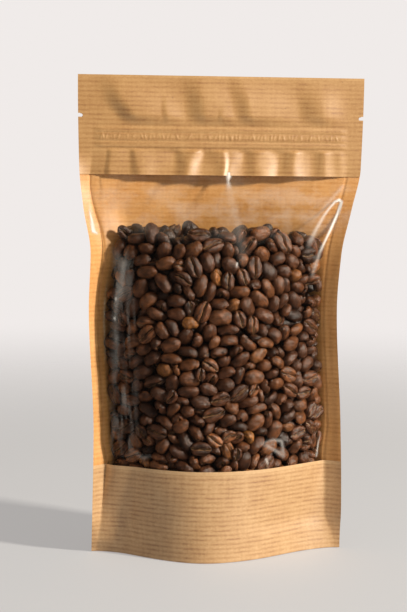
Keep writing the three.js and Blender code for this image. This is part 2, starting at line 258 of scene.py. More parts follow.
def sheet_points(face, heights, depth, thickness, inner_columns, seal_columns):
    """Rows of points on both sides of a sheet that lies the given depth inside a face of the pouch."""
    z = np.repeat(np.asarray(heights, float)[:, None], inner_columns + 2 * seal_columns + 1, 1)
    x = np.array([columns_at(h, inner_columns, seal_columns) for h in heights])
    y = face(x, z)
    return [np.stack([x, y + side, z], 2) for side in (depth, depth + thickness)]


def new_mesh(name, points, faces):
    """A smooth-shaded mesh from points in millimetres."""
    mesh = bpy.data.meshes.new(name)
    mesh.from_pydata((points * MM).tolist(), [], faces)
    mesh.polygons.foreach_set("use_smooth", np.ones(len(mesh.polygons), bool))
    mesh.update()
    return mesh


def store(mesh, name, values):
    """Keeps a number, or three, for each point of a mesh, for its material to read."""
    kind, field = ("FLOAT", "value") if values.ndim == 1 else ("FLOAT_VECTOR", "vector")
    kept = mesh.attributes.new(name, kind, "POINT").data
    kept.foreach_set(field, values.astype(np.float32).ravel())


def put(name, data):
    """Puts a mesh, a lamp or a camera in the scene."""
    made = bpy.data.objects.new(name, data)
    bpy.context.scene.collection.objects.link(made)
    return made


def thin_sheet(name, outer, inner, materials, keep=None, plain_top=0):
    """A closed thin sheet from rows of outer and inner points. Its flat attribute holds the sheet's
    own coordinates in millimetres, along its width and height, for patterns that lie in the paper,
    and 1 in a plain strip of the given width under its upper edge."""
    rows, columns = outer.shape[:2]
    count = rows * columns
    number = np.arange(count).reshape(rows, columns)
    corners = [number[:-1, :-1], number[:-1, 1:], number[1:, 1:], number[1:, :-1]]
    quads = np.stack(corners, 2).reshape(-1, 4)
    if keep is not None:
        quads = quads[keep(outer.reshape(-1, 3)[quads].mean(1))]
    # Each edge that only one quad has is on the rim, and gets a wall from the outer to the inner face.
    edges = np.concatenate([quads[:, [i, (i + 1) % 4]] for i in range(4)])
    key = edges[:, 0] * count + edges[:, 1]
    twin = edges[:, 1] * count + edges[:, 0]
    rim = edges[~np.isin(key, twin)]
    walls = np.stack([rim[:, 1], rim[:, 0], rim[:, 0] + count, rim[:, 1] + count], 1)
    faces = np.concatenate([quads, quads[:, ::-1] + count, walls])
    points = np.concatenate([outer.reshape(-1, 3), inner.reshape(-1, 3)])
    gaps = np.linalg.norm(np.diff(outer, axis=1), axis=2)
    across = np.concatenate([np.zeros((rows, 1)), np.cumsum(gaps, 1)], 1)
    across -= across[:, columns // 2][:, None]
    up = outer[:, :, 2]
    plain = (up > up.max() - plain_top) + 0.0
    flat = np.stack([across, up, plain], 2).reshape(-1, 3)

    used, place = np.unique(faces, return_inverse=True)
    mesh = new_mesh(name, points[used], place.reshape(faces.shape).tolist())
    store(mesh, "flat", np.concatenate([flat, flat])[used])
    for material in materials:
        mesh.materials.append(material)
    which = np.repeat([0, len(materials) - 1, 0], [len(quads), len(quads), len(walls)])
    mesh.polygons.foreach_set("material_index", which)
    mesh.set_sharp_from_angle(angle=SHARP_RIM)
    mesh.update()
    return put(name, mesh)


def linear(hex_colour):
    """An sRGB hex colour as linear red, green, blue and alpha."""
    channels = [int(hex_colour[i : i + 2], 16) / 255 for i in (1, 3, 5)]
    return [c / 12.92 if c <= 0.04045 else ((c + 0.055) / 1.055) ** 2.4 for c in channels] + [1]


def node(material, kind, inputs=None, stops=None, **settings):
    """Adds a shader node. An input is a value, or a node or socket that feeds it."""
    made = material.node_tree.nodes.new("ShaderNode" + kind)
    for name, value in settings.items():
        setattr(made, name, value)
    for name, value in (inputs or {}).items():
        if isinstance(value, bpy.types.Node):
            value = value.outputs[0]
        if isinstance(value, bpy.types.NodeSocket):
            material.node_tree.links.new(value, made.inputs[name])
        else:
            made.inputs[name].default_value = value
    if stops:
        ramp = made.color_ramp.elements
        while len(ramp) < len(stops):
            ramp.new(0.5)
        for element, (place, colour) in zip(ramp, stops):
            element.position = place
            element.color = colour
    return made


def new_material(name):
    material = bpy.data.materials.new(name)
    material.use_nodes = True
    material.node_tree.nodes.clear()
    return material


def ribbed_kraft(name, colours, rib_strength, specular, coat):
    """Unbleached kraft paper, machine-glazed with fine ribs across the web: a satin brown with darker
    broken lines, short fibres, clouds and a few dark specks. The lining is a clear gloss coat."""
    rib_pitch = 2.26
    m = new_material(name)
    flat = node(m, "Attribute", attribute_name="flat")
    noises = {}
    # Each has its spots to a millimetre across and up the sheet, its detail and its roughness.
    for use, across, up, detail, grit in (
        ("rib drift", 0.02, 0.1, 2.0, 0.5), ("rib breaks", 0.12, 0.5, 4.0, 0.65),
        ("fibres", 0.55, 0.04, 3.0, 0.5), ("streaks", 0.12, 0.7, 3.0, 0.5),
        ("pulp", 0.8, 1.1, 4.0, 0.75), ("clouds", 0.06, 0.08, 3.0, 0.5),
        ("specks", 0.11, 0.11, 0.0, 0.5), ("tooth", 1.2, 2.4, 4.0, 0.7),
    ):
        space = node(m, "Mapping", {"Vector": flat.outputs["Vector"], "Scale": (across, up, 1)})
        settings = {"Vector": space, "Scale": 1.0, "Detail": detail, "Roughness": grit}
        noises[use] = node(m, "TexNoise", settings)

    place = node(m, "SeparateXYZ", {"Vector": flat.outputs["Vector"]})
    drift = {0: noises["rib drift"], 1: 1.1, 2: place.outputs["Y"]}
    turns = node(m, "Math", drift, operation="MULTIPLY_ADD")
    turns = node(m, "Math", {0: turns, 1: 2 * math.pi / rib_pitch}, operation="MULTIPLY")
    wave = node(m, "Math", {0: turns}, operation="SINE")
    ribs = {"Value": wave, "From Min": -0.6, "From Max": 0.9}
    rib = node(m, "MapRange", ribs, interpolation_type="SMOOTHSTEP")
    whole = node(m, "MapRange", {"Value": noises["rib breaks"], "From Min": 0.3, "From Max": 0.62})
    pressed = node(m, "Math", {0: 1.0, 1: place.outputs["Z"]}, operation="SUBTRACT")
    for left in (whole, pressed):
        rib = node(m, "Math", {0: rib, 1: left}, operation="MULTIPLY")

    tone = node(m, "Math", {0: rib, 1: rib_strength}, operation="MULTIPLY")
    for use, share in (("fibres", 0.3), ("streaks", 0.2), ("pulp", 0.65), ("clouds", 0.35)):
        tone = node(m, "Math", {0: noises[use], 1: share, 2: tone}, operation="MULTIPLY_ADD")
    tone = node(m, "Math", {0: pressed, 1: 0.12, 2: tone}, operation="MULTIPLY_ADD")
    tone = node(m, "MapRange", {"Value": tone, "From Min": 0.66, "From Max": 1.36})
    stops = [(i / 2, linear(colour)) for i, colour in enumerate(colours)]
    paper = node(m, "ValToRGB", {"Fac": tone}, stops=stops)
    spots = node(m, "TexVoronoi", {"Vector": flat.outputs["Vector"], "Scale": 0.2})
    spots = {"Value": spots, "From Min": 0.03, "From Max": 0.07, "To Min": 0.6, "To Max": 0}
    speck = node(m, "MapRange", spots)
    rare = node(m, "MapRange", {"Value": noises["specks"], "From Min": 0.5, "From Max": 0.6})
    speck = node(m, "Math", {0: speck, 1: rare}, operation="MULTIPLY")
    colour = node(m, "Mix", {"Factor": speck, "A": paper, "B": linear("#6e4520")}, data_type="RGBA")

    height = {0: rib, 1: -rib_strength, 2: noises["tooth"]}
    height = node(m, "Math", height, operation="MULTIPLY_ADD")
    bump = node(m, "Bump", {"Height": height, "Strength": 0.6, "Distance": 0.08 * MM})
    surface = {
        "Base Color": colour.outputs["Result"], "Normal": bump, "Roughness": 0.5,
        "Specular IOR Level": specular, "Coat Weight": coat, "Coat Roughness": 0.5,
    }
    node(m, "OutputMaterial", {"Surface": node(m, "BsdfPrincipled", surface)})
    return m


kraft = ribbed_kraft(
    "ribbed_kraft_paper", ("#cfa266", "#b8874b", "#945f2e"),
    rib_strength=0.25, specular=0.8, coat=1.0,
)
# The lining is painted lighter than the outer paper: partly its own film-lined face, partly painted
# light that stands for light passing through the paper into the pouch.
kraft_lining = ribbed_kraft(
    "film_lined_kraft_paper", ("#eeb878", "#d89b58", "#b0703a"),
    rib_strength=0.18, specular=0.5, coat=0.3,
)


def heights_between(*stretches):
    """Row heights: each stretch is a start, an end and a spacing."""
    rows = [np.linspace(a, b, max(2, round((b - a) / gap) + 1))[:-1] for a, b, gap in stretches]
    return np.concatenate(rows + [[stretches[-1][1]]])


# Tear notches are punched through both edges, above the zip.
NOTCH_HEIGHT = 214.4
NOTCH_DEPTH = 2.2
NOTCH_WIDTH = 1.7


def outside_notches(centres):
    """True for places on a sheet that the tear notches leave."""
    x, z = centres[:, 0], centres[:, 2]
    from_edge = np.minimum(x - left_edge(z), right_edge(z) - x)
    round_end = np.clip(from_edge - NOTCH_DEPTH + NOTCH_WIDTH / 2, 0, None)
    return np.hypot(round_end, z - NOTCH_HEIGHT) > NOTCH_WIDTH / 2


back_rows = heights_between(
    (0, FOOTER_TOP, 2), (FOOTER_TOP, 160, 2.2), (160, 196, 1.2), (196, 213, 0.45), (213, 216, 0.3),
    (216, HEIGHT, 1),
)
back_sides = sheet_points(back_face, back_rows, 0, -PAPER, 150, 14)
back_panel = thin_sheet(
    "back_panel_kraft",
    *(side[:, ::-1] for side in back_sides),
    [kraft, kraft_lining],
    outside_notches,
)
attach(back_panel, "root")
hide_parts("back_panel")


# ---- Front header -------------------------------------------------------------------------------
# The kraft strip across the top of the front. The zip is welded behind it, so it stays flat in a
# narrow band and gathers into puckers below it and into softer slanting dents above.

FRONT_FULLNESS = -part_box("front_footer")[0].y / MM - UNEVENNESS
FRONT_CREST = -6.0  # the front bulges most a little left of the middle
front_bulge = through(
    (0, 1), (FOOTER_TOP, 0.99), (110, 0.965), (140, 0.92), (150, 0.86), (155, 0.77),
    (HEADER_BOTTOM, 0.12), (199, 0.03), (HEIGHT, 0.01),
)
front_left_power = through((0, 1.6), (FOOTER_TOP, 0.98), (148, 0.95), (HEADER_BOTTOM, 1.1))
front_right_power = through((0, 2), (FOOTER_TOP, 1.3), (90, 1.05), (HEADER_BOTTOM, 1.1))


def front_depth(x, z):
    """How far the front bulges from the middle plane."""
    powers = front_left_power(z), front_right_power(z)
    return FRONT_FULLNESS * front_bulge(z) * crown(x, z, FRONT_CREST, *powers)


def front_face(x, z):
    """Outer face of the front, paper and window alike: y for a place across (x) and up (z)."""
    rise = front_depth(x, z)
    soft = inside_seals(x, z, 10) * (0.35 * waviness(x, z, 34, 5) * (1 - step(z, *FLATTENS)))
    return (
        seal_curl(x, z) - STACK - rise - soft - zip_relief(x, z, 7)
        - gathers(x, z, 185, 172) - dents(x, z)
    )


header_rows = heights_between(
    (HEADER_BOTTOM, 196, 0.8), (196, 213, 0.4), (213, 216, 0.3), (216, HEIGHT, 0.9)
)
front_header = thin_sheet(
    "front_header_kraft",
    *sheet_points(front_face, header_rows, 0, PAPER, 300, 12),
    [kraft, kraft_lining],
    outside_notches,
    plain_top=1.6,
)
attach(front_header, "root")
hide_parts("front_header")


# ---- Front footer -------------------------------------------------------------------------------
# The kraft strip across the bottom of the front, laminated over the lower edge of the film. Its
# bottom edge stands on the ground in the arc that the opened gusset gives it.

# The footer's copy of the kraft is painted paler: a painted highlight for the sheen where the footer
# faces the lamp.
kraft_footer = ribbed_kraft(
    "footer_kraft_painted_paler", ("#d8b17e", "#c09460", "#9a693e"),
    rib_strength=0.3, specular=1.0, coat=1.0,
)
FOOTER_EDGE = FOOTER_TOP - 2.2
footer_rows = heights_between((0, 18, 1), (18, FOOTER_EDGE, 1.5), (FOOTER_EDGE, FOOTER_TOP, 0.3))
front_footer = thin_sheet(
    "front_footer_kraft",
    *sheet_points(front_face, footer_rows, 0, PAPER, 120, 8),
    [kraft_footer, kraft_lining],
    plain_top=1.8,
)
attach(front_footer, "root")
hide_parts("front_footer")


# ---- Bottom gusset ------------------------------------------------------------------------------
# A folded kraft sheet, sealed to both panels along a curve that is low in the middle and climbs
# into the side seals. The beans press its fold flat on the ground, so the pouch stands by itself.

GUSSET_RISE = 38
FLAT_BASE = 30
SEAL_ARC_LOW = 4
GUSSET_GAP = 0.3


def gusset_heights(x):
    """Height of the gusset's middle fold, and of its seal to the panels, at a place across."""
    share = np.clip(np.abs(x) / right_seal(GUSSET_RISE), 0, 1)
    start = FLAT_BASE / right_seal(0)
    fold = GUSSET_RISE * np.clip((share - start) / (1 - start), 0, 1) ** 1.5
    arc = SEAL_ARC_LOW + (GUSSET_RISE - SEAL_ARC_LOW) * share**2.6
    return fold, np.maximum(arc, fold)


def gusset_points(lift):
    x = np.linspace(left_seal(GUSSET_RISE) + 1, right_seal(GUSSET_RISE) - 1, 97)[None, :]
    share = np.linspace(-1, 1, 49)[:, None]
    fold, arc = gusset_heights(x)
    clear = PAPER + GUSSET_GAP
    wall = np.where(share < 0, front_face(x, arc) + clear, back_face(x, arc) - clear)
    middle = (front_face(x, arc) + back_face(x, arc)) / 2
    z = fold + (arc - fold) * step(np.abs(share), 0.62, 1) + lift
    return np.stack([x + 0 * share, middle + np.abs(share) * (wall - middle), z], 2)


bottom_gusset = thin_sheet(
    "bottom_gusset_kraft", gusset_points(0)[::-1], gusset_points(PAPER)[::-1], [kraft, kraft_lining]
)
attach(bottom_gusset, "root")
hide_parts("bottom_gusset")


# ---- Window film --------------------------------------------------------------------------------
# Clear thin polypropylene film, laminated behind the header and the footer and heat-sealed to the
# back down both sides. It is drawn tight over the beans. Milky white is painted on it: painted glints
# along its creases, and painted reflections under the header and down its left flank.

FILM = 0.09
GLUE = 0.01
LAP = 3.5

# Creases: x and z of each point along one, its half-width there, and how white its painted glint is.
CREASES = [
    [(56.4, 173.6, 0.4, 0.7), (58.6, 174.6, 0.5, 1.0), (59.9, 173.6, 0.5, 1.0), (58.2, 168, 0.5, 1.0),
     (54.6, 160, 0.5, 0.95), (51.6, 154, 0.5, 0.5), (48.8, 148.5, 0.8, 0.16), (45, 138, 1.0, 0.05)],
    [(56.4, 173.6, 0.5, 0.6), (53.6, 170.4, 0.5, 0.38), (50.6, 166.6, 0.7, 0.25),
     (46.6, 160, 0.9, 0.18), (43.6, 154.5, 1.2, 0.08), (42, 150, 1.4, 0.0)],
    [(60.4, 181.5, 0.7, 0.1), (51, 170.6, 1.0, 0.07), (44, 163, 1.2, 0.0)],
    [(3.4, 187.0, 0.8, 1.0), (3.4, 185.6, 0.8, 0.95), (3.0, 183.4, 0.4, 0.4), (3.6, 179, 1.6, 0.06),
     (7, 160, 2.6, 0.04), (8.6, 146, 2.0, 0.02)],
    [(-64.3, 171, 0.3, 0.15), (-63.4, 165, 0.4, 0.75), (-62.2, 158.6, 0.6, 1.0),
     (-60.4, 157.4, 0.35, 0.4)],
    [(-53, 150, 1.6, 0.03), (-49, 143, 2.4, 0.09), (-48.4, 134, 2.4, 0.08), (-50.6, 127, 1.4, 0.1),
     (-51.2, 118, 1.6, 0.06), (-51.4, 96, 1.8, 0.03)],
    [(-51.4, 126.4, 0.5, 0.7), (-51.2, 124.8, 0.4, 0.1)],
    [(-52.0, 117, 0.5, 0.6), (-51.8, 115.4, 0.4, 0.1)],
    [(19, 57.2, 0.6, 0.05), (25, 58.6, 0.7, 0.12), (29.6, 57.6, 0.6, 0.16), (31.2, 50, 0.8, 0.06)],
    [(20, 57, 0.8, 0.06), (26, 53.4, 0.7, 0.13), (31, 49.6, 0.7, 0.1)],
    [(51.4, 58.5, 0.3, 0.05), (50.2, 53.5, 0.3, 0.25), (49.4, 47, 0.3, 0.3)],
    [(21.6, 49.4, 0.4, 0.35), (22.6, 47, 0.4, 0.25)],
    [(-42, 52, 0.9, 0.05), (-38, 49.4, 0.9, 0.08), (-35, 50.6, 0.8, 0.05)],
    [(5.6, 144.6, 0.35, 0.6), (5.8, 143, 0.3, 0.3)],
]


def crease_at(x, z):
    """How strongly the creases show at a place on the film: the rise of their ridges, and their painted
    glint.
    """
    white = np.zeros(np.broadcast(x, z).shape)
    for line in CREASES:
        for (x0, z0, w0, a0), (x1, z1, w1, a1) in zip(line, line[1:]):
            dx, dz = x1 - x0, z1 - z0
            t = np.clip(((x - x0) * dx + (z - z0) * dz) / (dx * dx + dz * dz), 0, 1)
            away = np.hypot(x - x0 - dx * t, z - z0 - dz * t) / (w0 + (w1 - w0) * t)
            white = np.maximum(white, (a0 + (a1 - a0) * t) * np.exp(-(away**2)))
    return white


def film_face(x, z):
    fade = inside_seals(x, z, 6) * step(z, FOOTER_TOP, FOOTER_TOP + 6) * (1 - step(z, 150, 164))
    left_side = 1 - step(x, -52, -38)
    loose = 0.13 * waviness(x, z, 12, 9) + 0.08 * waviness(x, z, 6, 10)
    drawn = 0.1 * left_side * waviness(x, z * 0.12, 4.5, 12)
    return front_face(x, z) - 0.5 * crease_at(x, z) * inside_seals(x, z, 2) - (loose + drawn) * fade


film_rows = heights_between(
    (FOOTER_TOP - LAP, 62, 0.7), (62, 110, 1.0), (110, HEADER_BOTTOM + LAP, 0.62)
)


def creased_film():
    """Clear cast polypropylene: it lets nearly all light straight through and mirrors a little, most at
    a grazing look. Milky white is painted into it: painted glints along creases and painted
    reflections."""
    m = new_material("clear_polypropylene_film")
    gloss = node(m, "BsdfGlossy", {"Color": (1, 1, 1, 1), "Roughness": 0.1})
    clear = node(m, "BsdfTransparent", {"Color": (0.985, 0.985, 0.98, 1)})
    edge = node(m, "LayerWeight", {"Blend": 0.5})
    grazing = node(m, "Math", {0: edge.outputs["Facing"], 1: 5.0}, operation="POWER")
    mirror = node(m, "Math", {0: grazing, 1: 0.9, 2: 0.012}, operation="MULTIPLY_ADD")
    body = node(m, "MixShader", {"Fac": mirror, 1: clear, 2: gloss})
    painted_crease_glint, painted_cloud_reflection, painted_flank_reflection = (
        node(m, "Attribute", attribute_name=use).outputs["Fac"] for use in ("painted_crease_glint", "painted_cloud_reflection", "painted_flank_reflection")
    )
    flat = node(m, "Attribute", attribute_name="flat")
    noises = []
    # Patterns of the painted reflections, in clouds and in streaks: spots to a millimetre across and
    # up, roughness, and the part that shows.
    for across, up, grit, low, high in ((0.07, 0.11, 0.65, 0.42, 0.7), (0.3, 0.05, 0.6, 0.47, 0.6)):
        space = node(m, "Mapping", {"Vector": flat.outputs["Vector"], "Scale": (across, up, 1)})
        settings = {"Vector": space, "Scale": 1.0, "Detail": 5.0, "Roughness": grit}
        spots = node(m, "TexNoise", settings)
        noises.append(node(m, "MapRange", {"Value": spots, "From Min": low, "From Max": high}))
    clouds, flank_reflection_streaks = noises
    white = node(m, "Math", {0: clouds, 1: painted_cloud_reflection, 2: painted_crease_glint}, operation="MULTIPLY_ADD")
    white = node(m, "Math", {0: painted_flank_reflection, 1: flank_reflection_streaks, 2: white}, operation="MULTIPLY_ADD", use_clamp=True)
    # The milky white is a rough white that the lamps light. It paints the glints and reflections into
    # the film.
    milky = {"Base Color": linear("#f4f2ee"), "Roughness": 0.35, "Specular IOR Level": 0.5}
    mix = {"Fac": white, 1: body, 2: node(m, "BsdfPrincipled", milky)}
    node(m, "OutputMaterial", {"Surface": node(m, "MixShader", mix)})
    return m


window_film = thin_sheet(
    "window_film", *sheet_points(film_face, film_rows, PAPER + GLUE, FILM, 190, 8), [creased_film()]
)
spot_x, _, spot_z = np.array([vertex.co for vertex in window_film.data.vertices]).T / MM
# Painted reflection: grey-white streaks down the film's left flank, where it turns to the left.
painted_flank_reflection = step(spot_x, -55, -50) * (1 - step(spot_x, -46, -39))
painted_flank_reflection *= step(spot_z, 46, 54) * (1 - step(spot_z, 142, 152))
painted_flank_reflection *= 0.085 + 0.04 * waviness(spot_x, spot_z, 22, 14)
# Painted reflection: milky clouds in the film over the headspace under the header.
cloud_reflection_amount = 0.1 * step(spot_z, 152, 168) * (1 - 0.8 * step(spot_z, 177, 183))
# Painted highlight: the creases' whiteness, which the film's material reads.
store(window_film.data, "painted_crease_glint", crease_at(spot_x, spot_z))
store(window_film.data, "painted_cloud_reflection", cloud_reflection_amount)
store(window_film.data, "painted_flank_reflection", painted_flank_reflection)
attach(window_film, "root")
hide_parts("front_window")


# ---- Roasted coffee beans -----------------------------------------------------------------------
# Medium-dark roasted arabica beans, poured in loose. They are half-round: a domed back and a flat
# face with a deep centre cut. Roasting leaves a satin surface, and pale silverskin in the cut.

BEAN_TOP = 160.0
FILLING_LINE = 165


def bean_points(length, width, thickness, cut_bend, cut_depth, seed):
    """Rings of points round one bean, which lies along X with its flat face down. With them, for each
    point: how much it is in the centre cut, and 1 on the flat face or 0 on the domed back."""
    draw = np.random.default_rng(seed)
    # Places along the bean, closer towards its tips. One end is thicker than the other.
    t = np.sin(np.linspace(-1, 1, 15) * math.radians(83))[:, None]
    taper = 1 + draw.uniform(-0.12, 0.12) * t
    half_width = width / 2 * np.sqrt(1 - np.abs(t) ** 2.3) * taper
    dome = 0.66 * thickness * np.sqrt(1 - np.abs(t) ** 2.4) * taper
    flat = 0.34 * thickness * (1 - t**4) ** 0.5

    turn = np.radians(np.linspace(0, 180, 11))[None, :]
    dome_y = half_width * np.cos(turn)
    dome_z = dome * np.sin(turn) ** 0.9

    # The flat face: a cut that bends from side to side between two low lips.
    cut_y = cut_bend * np.sin(t * 2.6)
    near = np.minimum(1, half_width / 2.2)
    shares = np.array([-0.93, -0.76, -0.48])
    offsets = np.array([-0.85, -0.38, 0.0, 0.38, 0.85])
    lip_y = cut_y * near + offsets * near
    face_y = np.concatenate([half_width * shares, lip_y, half_width * -shares[::-1]], 1)
    away = (face_y - cut_y * near) / np.maximum(near, 0.2)
    ends = np.clip((1 - np.abs(t)) / 0.12, 0, 1)
    in_cut = np.exp(-((away / 0.46) ** 2)) * ends
    lips = np.exp(-(((np.abs(away) - 1.25) / 0.7) ** 2)) * ends
    face_z = -flat * (1 - np.clip(np.abs(face_y / half_width), 0, 1) ** 4.6) ** 0.5
    face_z += cut_depth * in_cut - 0.2 * lips

    # The whole bean bends a little sideways, and drying leaves it uneven at three sizes.
    y = np.concatenate([dome_y, face_y], 1)
    z = np.concatenate([dome_z, face_z], 1)
    x = length / 2 * t + 0 * y
    bend = draw.uniform(-0.45, 0.45)
    y = y + bend * t**2
    for size, pitch in ((0.14, 6.5), (0.09, 3.2), (0.05, 1.9)):
        turns = 2 * math.pi / pitch
        z = z + size * np.sin(x * turns + y * 1.3 * turns * 0.6 + draw.uniform(0, 6))
        y = y + size * np.sin(x * turns * 0.8 - z * turns + draw.uniform(0, 6))
    cut = np.concatenate([0 * dome_y, in_cut], 1)
    face = np.concatenate([0 * dome_y, 0 * face_y + 1], 1)
    return np.stack([x, y, z], 2), cut, face


def tube(rings):
    """Numbers of the points on rings, of the next point round for each, and the quads between."""
    number = np.arange(rings.shape[0] * rings.shape[1]).reshape(rings.shape[:2])
    nxt = np.roll(number, -1, 1)
    return number, nxt, np.stack([number[:-1], nxt[:-1], nxt[1:], number[1:]], 2).reshape(-1, 4)


def bean_body(*sizes):
    """Points and faces of one closed bean, and each point's share in the cut and on the face."""
    rings, cut, face = bean_points(*sizes)
    number, nxt, quads = tube(rings)
    tips = [rings[0].mean(0) - [0.25, 0, 0], rings[-1].mean(0) + [0.25, 0, 0]]
    points = np.concatenate([rings.reshape(-1, 3), tips])
    a, b = number.size, number.size + 1
    first = np.stack([nxt[0], number[0], 0 * number[0] + a], 1)
    last = np.stack([number[-1], nxt[-1], 0 * number[-1] + b], 1)
    triangles = np.concatenate([quads[:, [0, 1, 2]], quads[:, [0, 2, 3]], first, last])
    return points, triangles, np.append(cut.ravel(), [0, 0]), np.append(face.ravel(), [0.5, 0.5])


# Shapes of bean: length, width, thickness, bend and depth of the cut, and the seed of its unevenness.
SHAPES = []
WHOLE, PEABERRIES, CHIPPED = 14, 3, 3
bean_sizes = np.random.default_rng(21)
for number in range(WHOLE):
    length = bean_sizes.uniform(9.4, 11.8)
    width = length * bean_sizes.uniform(0.66, 0.74)
    thickness = width * bean_sizes.uniform(0.6, 0.7)
    cut = bean_sizes.uniform(-0.6, 0.6), bean_sizes.uniform(1.3, 1.9)
    SHAPES.append((length, width, thickness, *cut, number))
for number in range(PEABERRIES):  # nearly round
    length = bean_sizes.uniform(8.6, 9.6)
    SHAPES.append((length, length * 0.7, length * 0.62, 0.3, 0.9, 50 + number))
for number in range(CHIPPED):  # or stunted
    length = bean_sizes.uniform(6.0, 7.6)
    SHAPES.append((length, length * 0.78, length * 0.42, 0.5, 1.2, 70 + number))


def pour(count, frames, seed):
    """Drops beans into the pouch as rigid bodies and returns the shape and resting place of each.
    One scene unit is 10 mm, because the solver is steadiest with pieces about one unit long."""
    unit = 0.1
    hopper_low, hopper_top = 172, 420
    draw = np.random.default_rng(seed)

    def ring_at(z):
        # Above the filling line the pouch narrows, and a straight hopper holds the rest of the pour.
        above = min(z, FILLING_LINE + 15) - FILLING_LINE
        like = z if above <= 0 else FILLING_LINE - above * 1.4
        a, b = left_seal(like), right_seal(like)
        x = (a + b) / 2 + (b - a) / 2 * np.sin(np.linspace(-1, 1, 41) * math.pi / 2)
        front, back = front_depth(x, like), back_depth(x, like)
        x = (a + b) / 2 + (x - (a + b) / 2) * 1.03
        front_side, back_side = (np.stack([x, y, 0 * x + z], 1) for y in (-front, back))
        return np.concatenate([front_side, back_side[-2:0:-1]])

    levels = np.concatenate([np.linspace(1, FILLING_LINE, 42), np.linspace(hopper_low, hopper_top, 12)])
    rings = np.array([ring_at(z) for z in levels])
    number, nxt, _ = tube(rings)
    walls = np.stack([number[:-1], number[1:], nxt[1:], nxt[:-1]], 2).reshape(-1, 4)
    x, y = np.meshgrid(np.linspace(-56, 56, 29), np.linspace(-30, 30, 9), indexing="ij")
    floor = np.stack([x, y, gusset_heights(x)[0] + 1], 2).reshape(-1, 3)
    cell = np.arange(x.size).reshape(x.shape) + number.size
    tiles = np.stack([cell[:-1, :-1], cell[1:, :-1], cell[1:, 1:], cell[:-1, 1:]], 2).reshape(-1, 4)
    mesh = bpy.data.meshes.new("pour_walls")
    points = np.concatenate([rings.reshape(-1, 3), floor])
    mesh.from_pydata((points * unit).tolist(), [], np.concatenate([walls, tiles]).tolist())
    wall = bpy.data.objects.new("pour_walls", mesh)

    hulls = []
    turn = np.radians(np.arange(0, 360, 36))
    for length, width, thickness, *_ in SHAPES:
        rings = []
        for up, share in ((-0.37, 0.8), (-0.2, 0.97), (0.05, 1.0), (0.34, 0.8), (0.6, 0.4)):
            x, y = length / 2 * share * np.cos(turn), width / 2 * share * np.sin(turn)
            rings.append(np.stack([x, y, 0 * turn + up * thickness], 1))
        hull = bpy.data.meshes.new("pour_bean")
        hull.from_pydata((np.concatenate(rings) * unit).tolist(), [], [(0, 1, 2)])
        hulls.append(hull)

    spacing, layer = 9.6, 8.4
    starts = []
    z = 14.0
    while len(starts) < count:
        like = min(z, 140)
        for x in np.arange(-48, 49, spacing):
            for y in np.arange(-22, 23, spacing * 0.9):
                front, back = front_depth(x, like), back_depth(x, like)
                fits = left_seal(like) + 7 < x < right_seal(like) - 7 and -front + 6 < y < back - 6
                if fits and gusset_heights(x)[0] + 8 < z:
                    starts.append(np.array([x, y, z]) + draw.uniform(-0.6, 0.6, 3))
        z += layer

    scene = bpy.context.scene
    bodies = bpy.data.collections.new("pour_bodies")
    which = draw.integers(len(SHAPES), size=count)
    beans = []
    for start, shape in zip(starts[:count], which):
        bean = bpy.data.objects.new("pour_bean", hulls[shape])
        bean.location = start * unit
        bean.rotation_mode = "QUATERNION"
        bean.rotation_quaternion = Quaternion(draw.normal(size=4)).normalized()
        beans.append(bean)
    solids = [wall] + beans
    for body in solids:
        scene.collection.objects.link(body)
        bodies.objects.link(body)
    bpy.ops.rigidbody.world_add()
    world = scene.rigidbody_world
    world.collection = bodies
    bpy.context.view_layer.update()
    for body in solids:
        solid = body.rigid_body
        solid.type = "PASSIVE" if body is wall else "ACTIVE"
        solid.collision_shape = "MESH" if body is wall else "CONVEX_HULL"
        solid.friction = 0.22
        solid.restitution = 0
        solid.use_margin = True
        solid.collision_margin = 0.01
        solid.linear_damping = 0.1
        solid.angular_damping = 0.25
    world.substeps_per_frame = 6
    world.solver_iterations = 10
    world.time_scale = 2.0
    world.point_cache.frame_end = frames
    scene.gravity = (0, 0, -9.81)
    for at in range(1, frames + 1):
        scene.frame_set(at)
    places = np.array([np.array(bean.matrix_world) for bean in beans])
    places[:, :3, 3] /= unit

    bpy.ops.rigidbody.world_remove()
    for body in solids:
        bpy.data.objects.remove(body)
    for mesh in [mesh] + hulls:
        bpy.data.meshes.remove(mesh)
    bpy.data.collections.remove(bodies)
    scene.frame_set(1)
    return which, places


which, places = pour(count=2340, frames=80, seed=5)

# The beans that can be seen are kept: two layers behind the window, the top of the heap and the
# narrow sides. The core below stands for the rest. The heap is lower at its sides.
SEEN_DEPTH, SEEN_SIDES, SEEN_TOP = 15, 14, 18
BELOW_WINDOW = 7
across, depth, up = places[:, :3, 3].T
front_gap = depth + front_depth(across, up)
side_gap = np.minimum(across - left_seal(up), right_seal(up) - across)
seen = (front_gap < SEEN_DEPTH) | (side_gap < SEEN_SIDES) | (up > BEAN_TOP - SEEN_TOP)
heap_top = BEAN_TOP - 0.8 - 9 * step(np.abs(across + 2), 42, 56)
heap_left = -53.5 + 5 * (1 - step(up, FOOTER_TOP, 85))
seen &= (up < heap_top) & (up > FOOTER_TOP - BELOW_WINDOW) & (across > heap_left)

bean_bodies = [bean_body(*shape) for shape in SHAPES]
BEAN_GAP = 0.1
MOVES = 14


def settle(i):
    """Moves one bean until it clears the film, the paper and the back. True if it can."""
    own = bean_bodies[which[i]][0] @ places[i, :3, :3].T
    for _ in range(MOVES):
        x, y, z = (own + places[i, :3, 3]).T
        cover = np.maximum(film_face(x, z) + FILM, front_face(x, z)) + PAPER + BEAN_GAP
        front = np.max(cover - y)
        back = np.max(y - (back_face(x, z) - PAPER - BEAN_GAP))
        if front <= 0 and back <= 0:
            return True
        if front > 0 and back > 0:
            places[i, 0, 3] -= np.sign(places[i, 0, 3]) * (0.3 + min(front, back) / 2)
            places[i, 1, 3] += (front - back) / 2
        else:
            places[i, 1, 3] += max(front, 0) - max(back, 0)
    return False


for i in np.flatnonzero(seen):
    seen[i] = settle(i)


